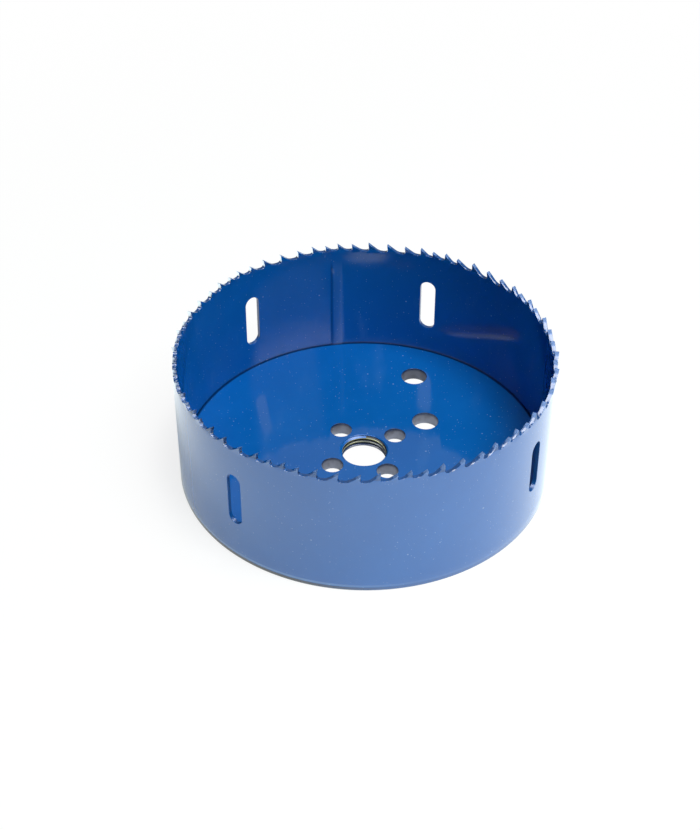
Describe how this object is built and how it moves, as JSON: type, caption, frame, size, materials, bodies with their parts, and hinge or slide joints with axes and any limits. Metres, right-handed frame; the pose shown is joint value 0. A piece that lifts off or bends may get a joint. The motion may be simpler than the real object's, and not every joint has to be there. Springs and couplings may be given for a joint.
{
  "type": "hole saw",
  "caption": "Large cup-shaped hole saw: a painted steel ring with set saw teeth and chip slots, on a thick back plate with a threaded arbor hole and drive-pin holes.",
  "frame": {"origin": "on the saw's axis, in the underside of the back plate, on which it rests", "axes": "+Z along the axis towards the teeth; the four slots lie at 68.7, 130.7, 230 and 330.4 degrees from +X towards +Y, and the weld of the ring at 99.7 degrees"},
  "size_m": [0.1206, 0.1206, 0.0456],
  "materials": {
    "ring_paint": "glossy blue paint, worn to bare steel at the tooth tips",
    "plate_paint": "glossy blue paint, bare steel in the holes"
  },
  "bodies": {
    "root": {"toothed_ring": "ring_paint", "back_plate": "plate_paint"}
  },
  "joints": []
}
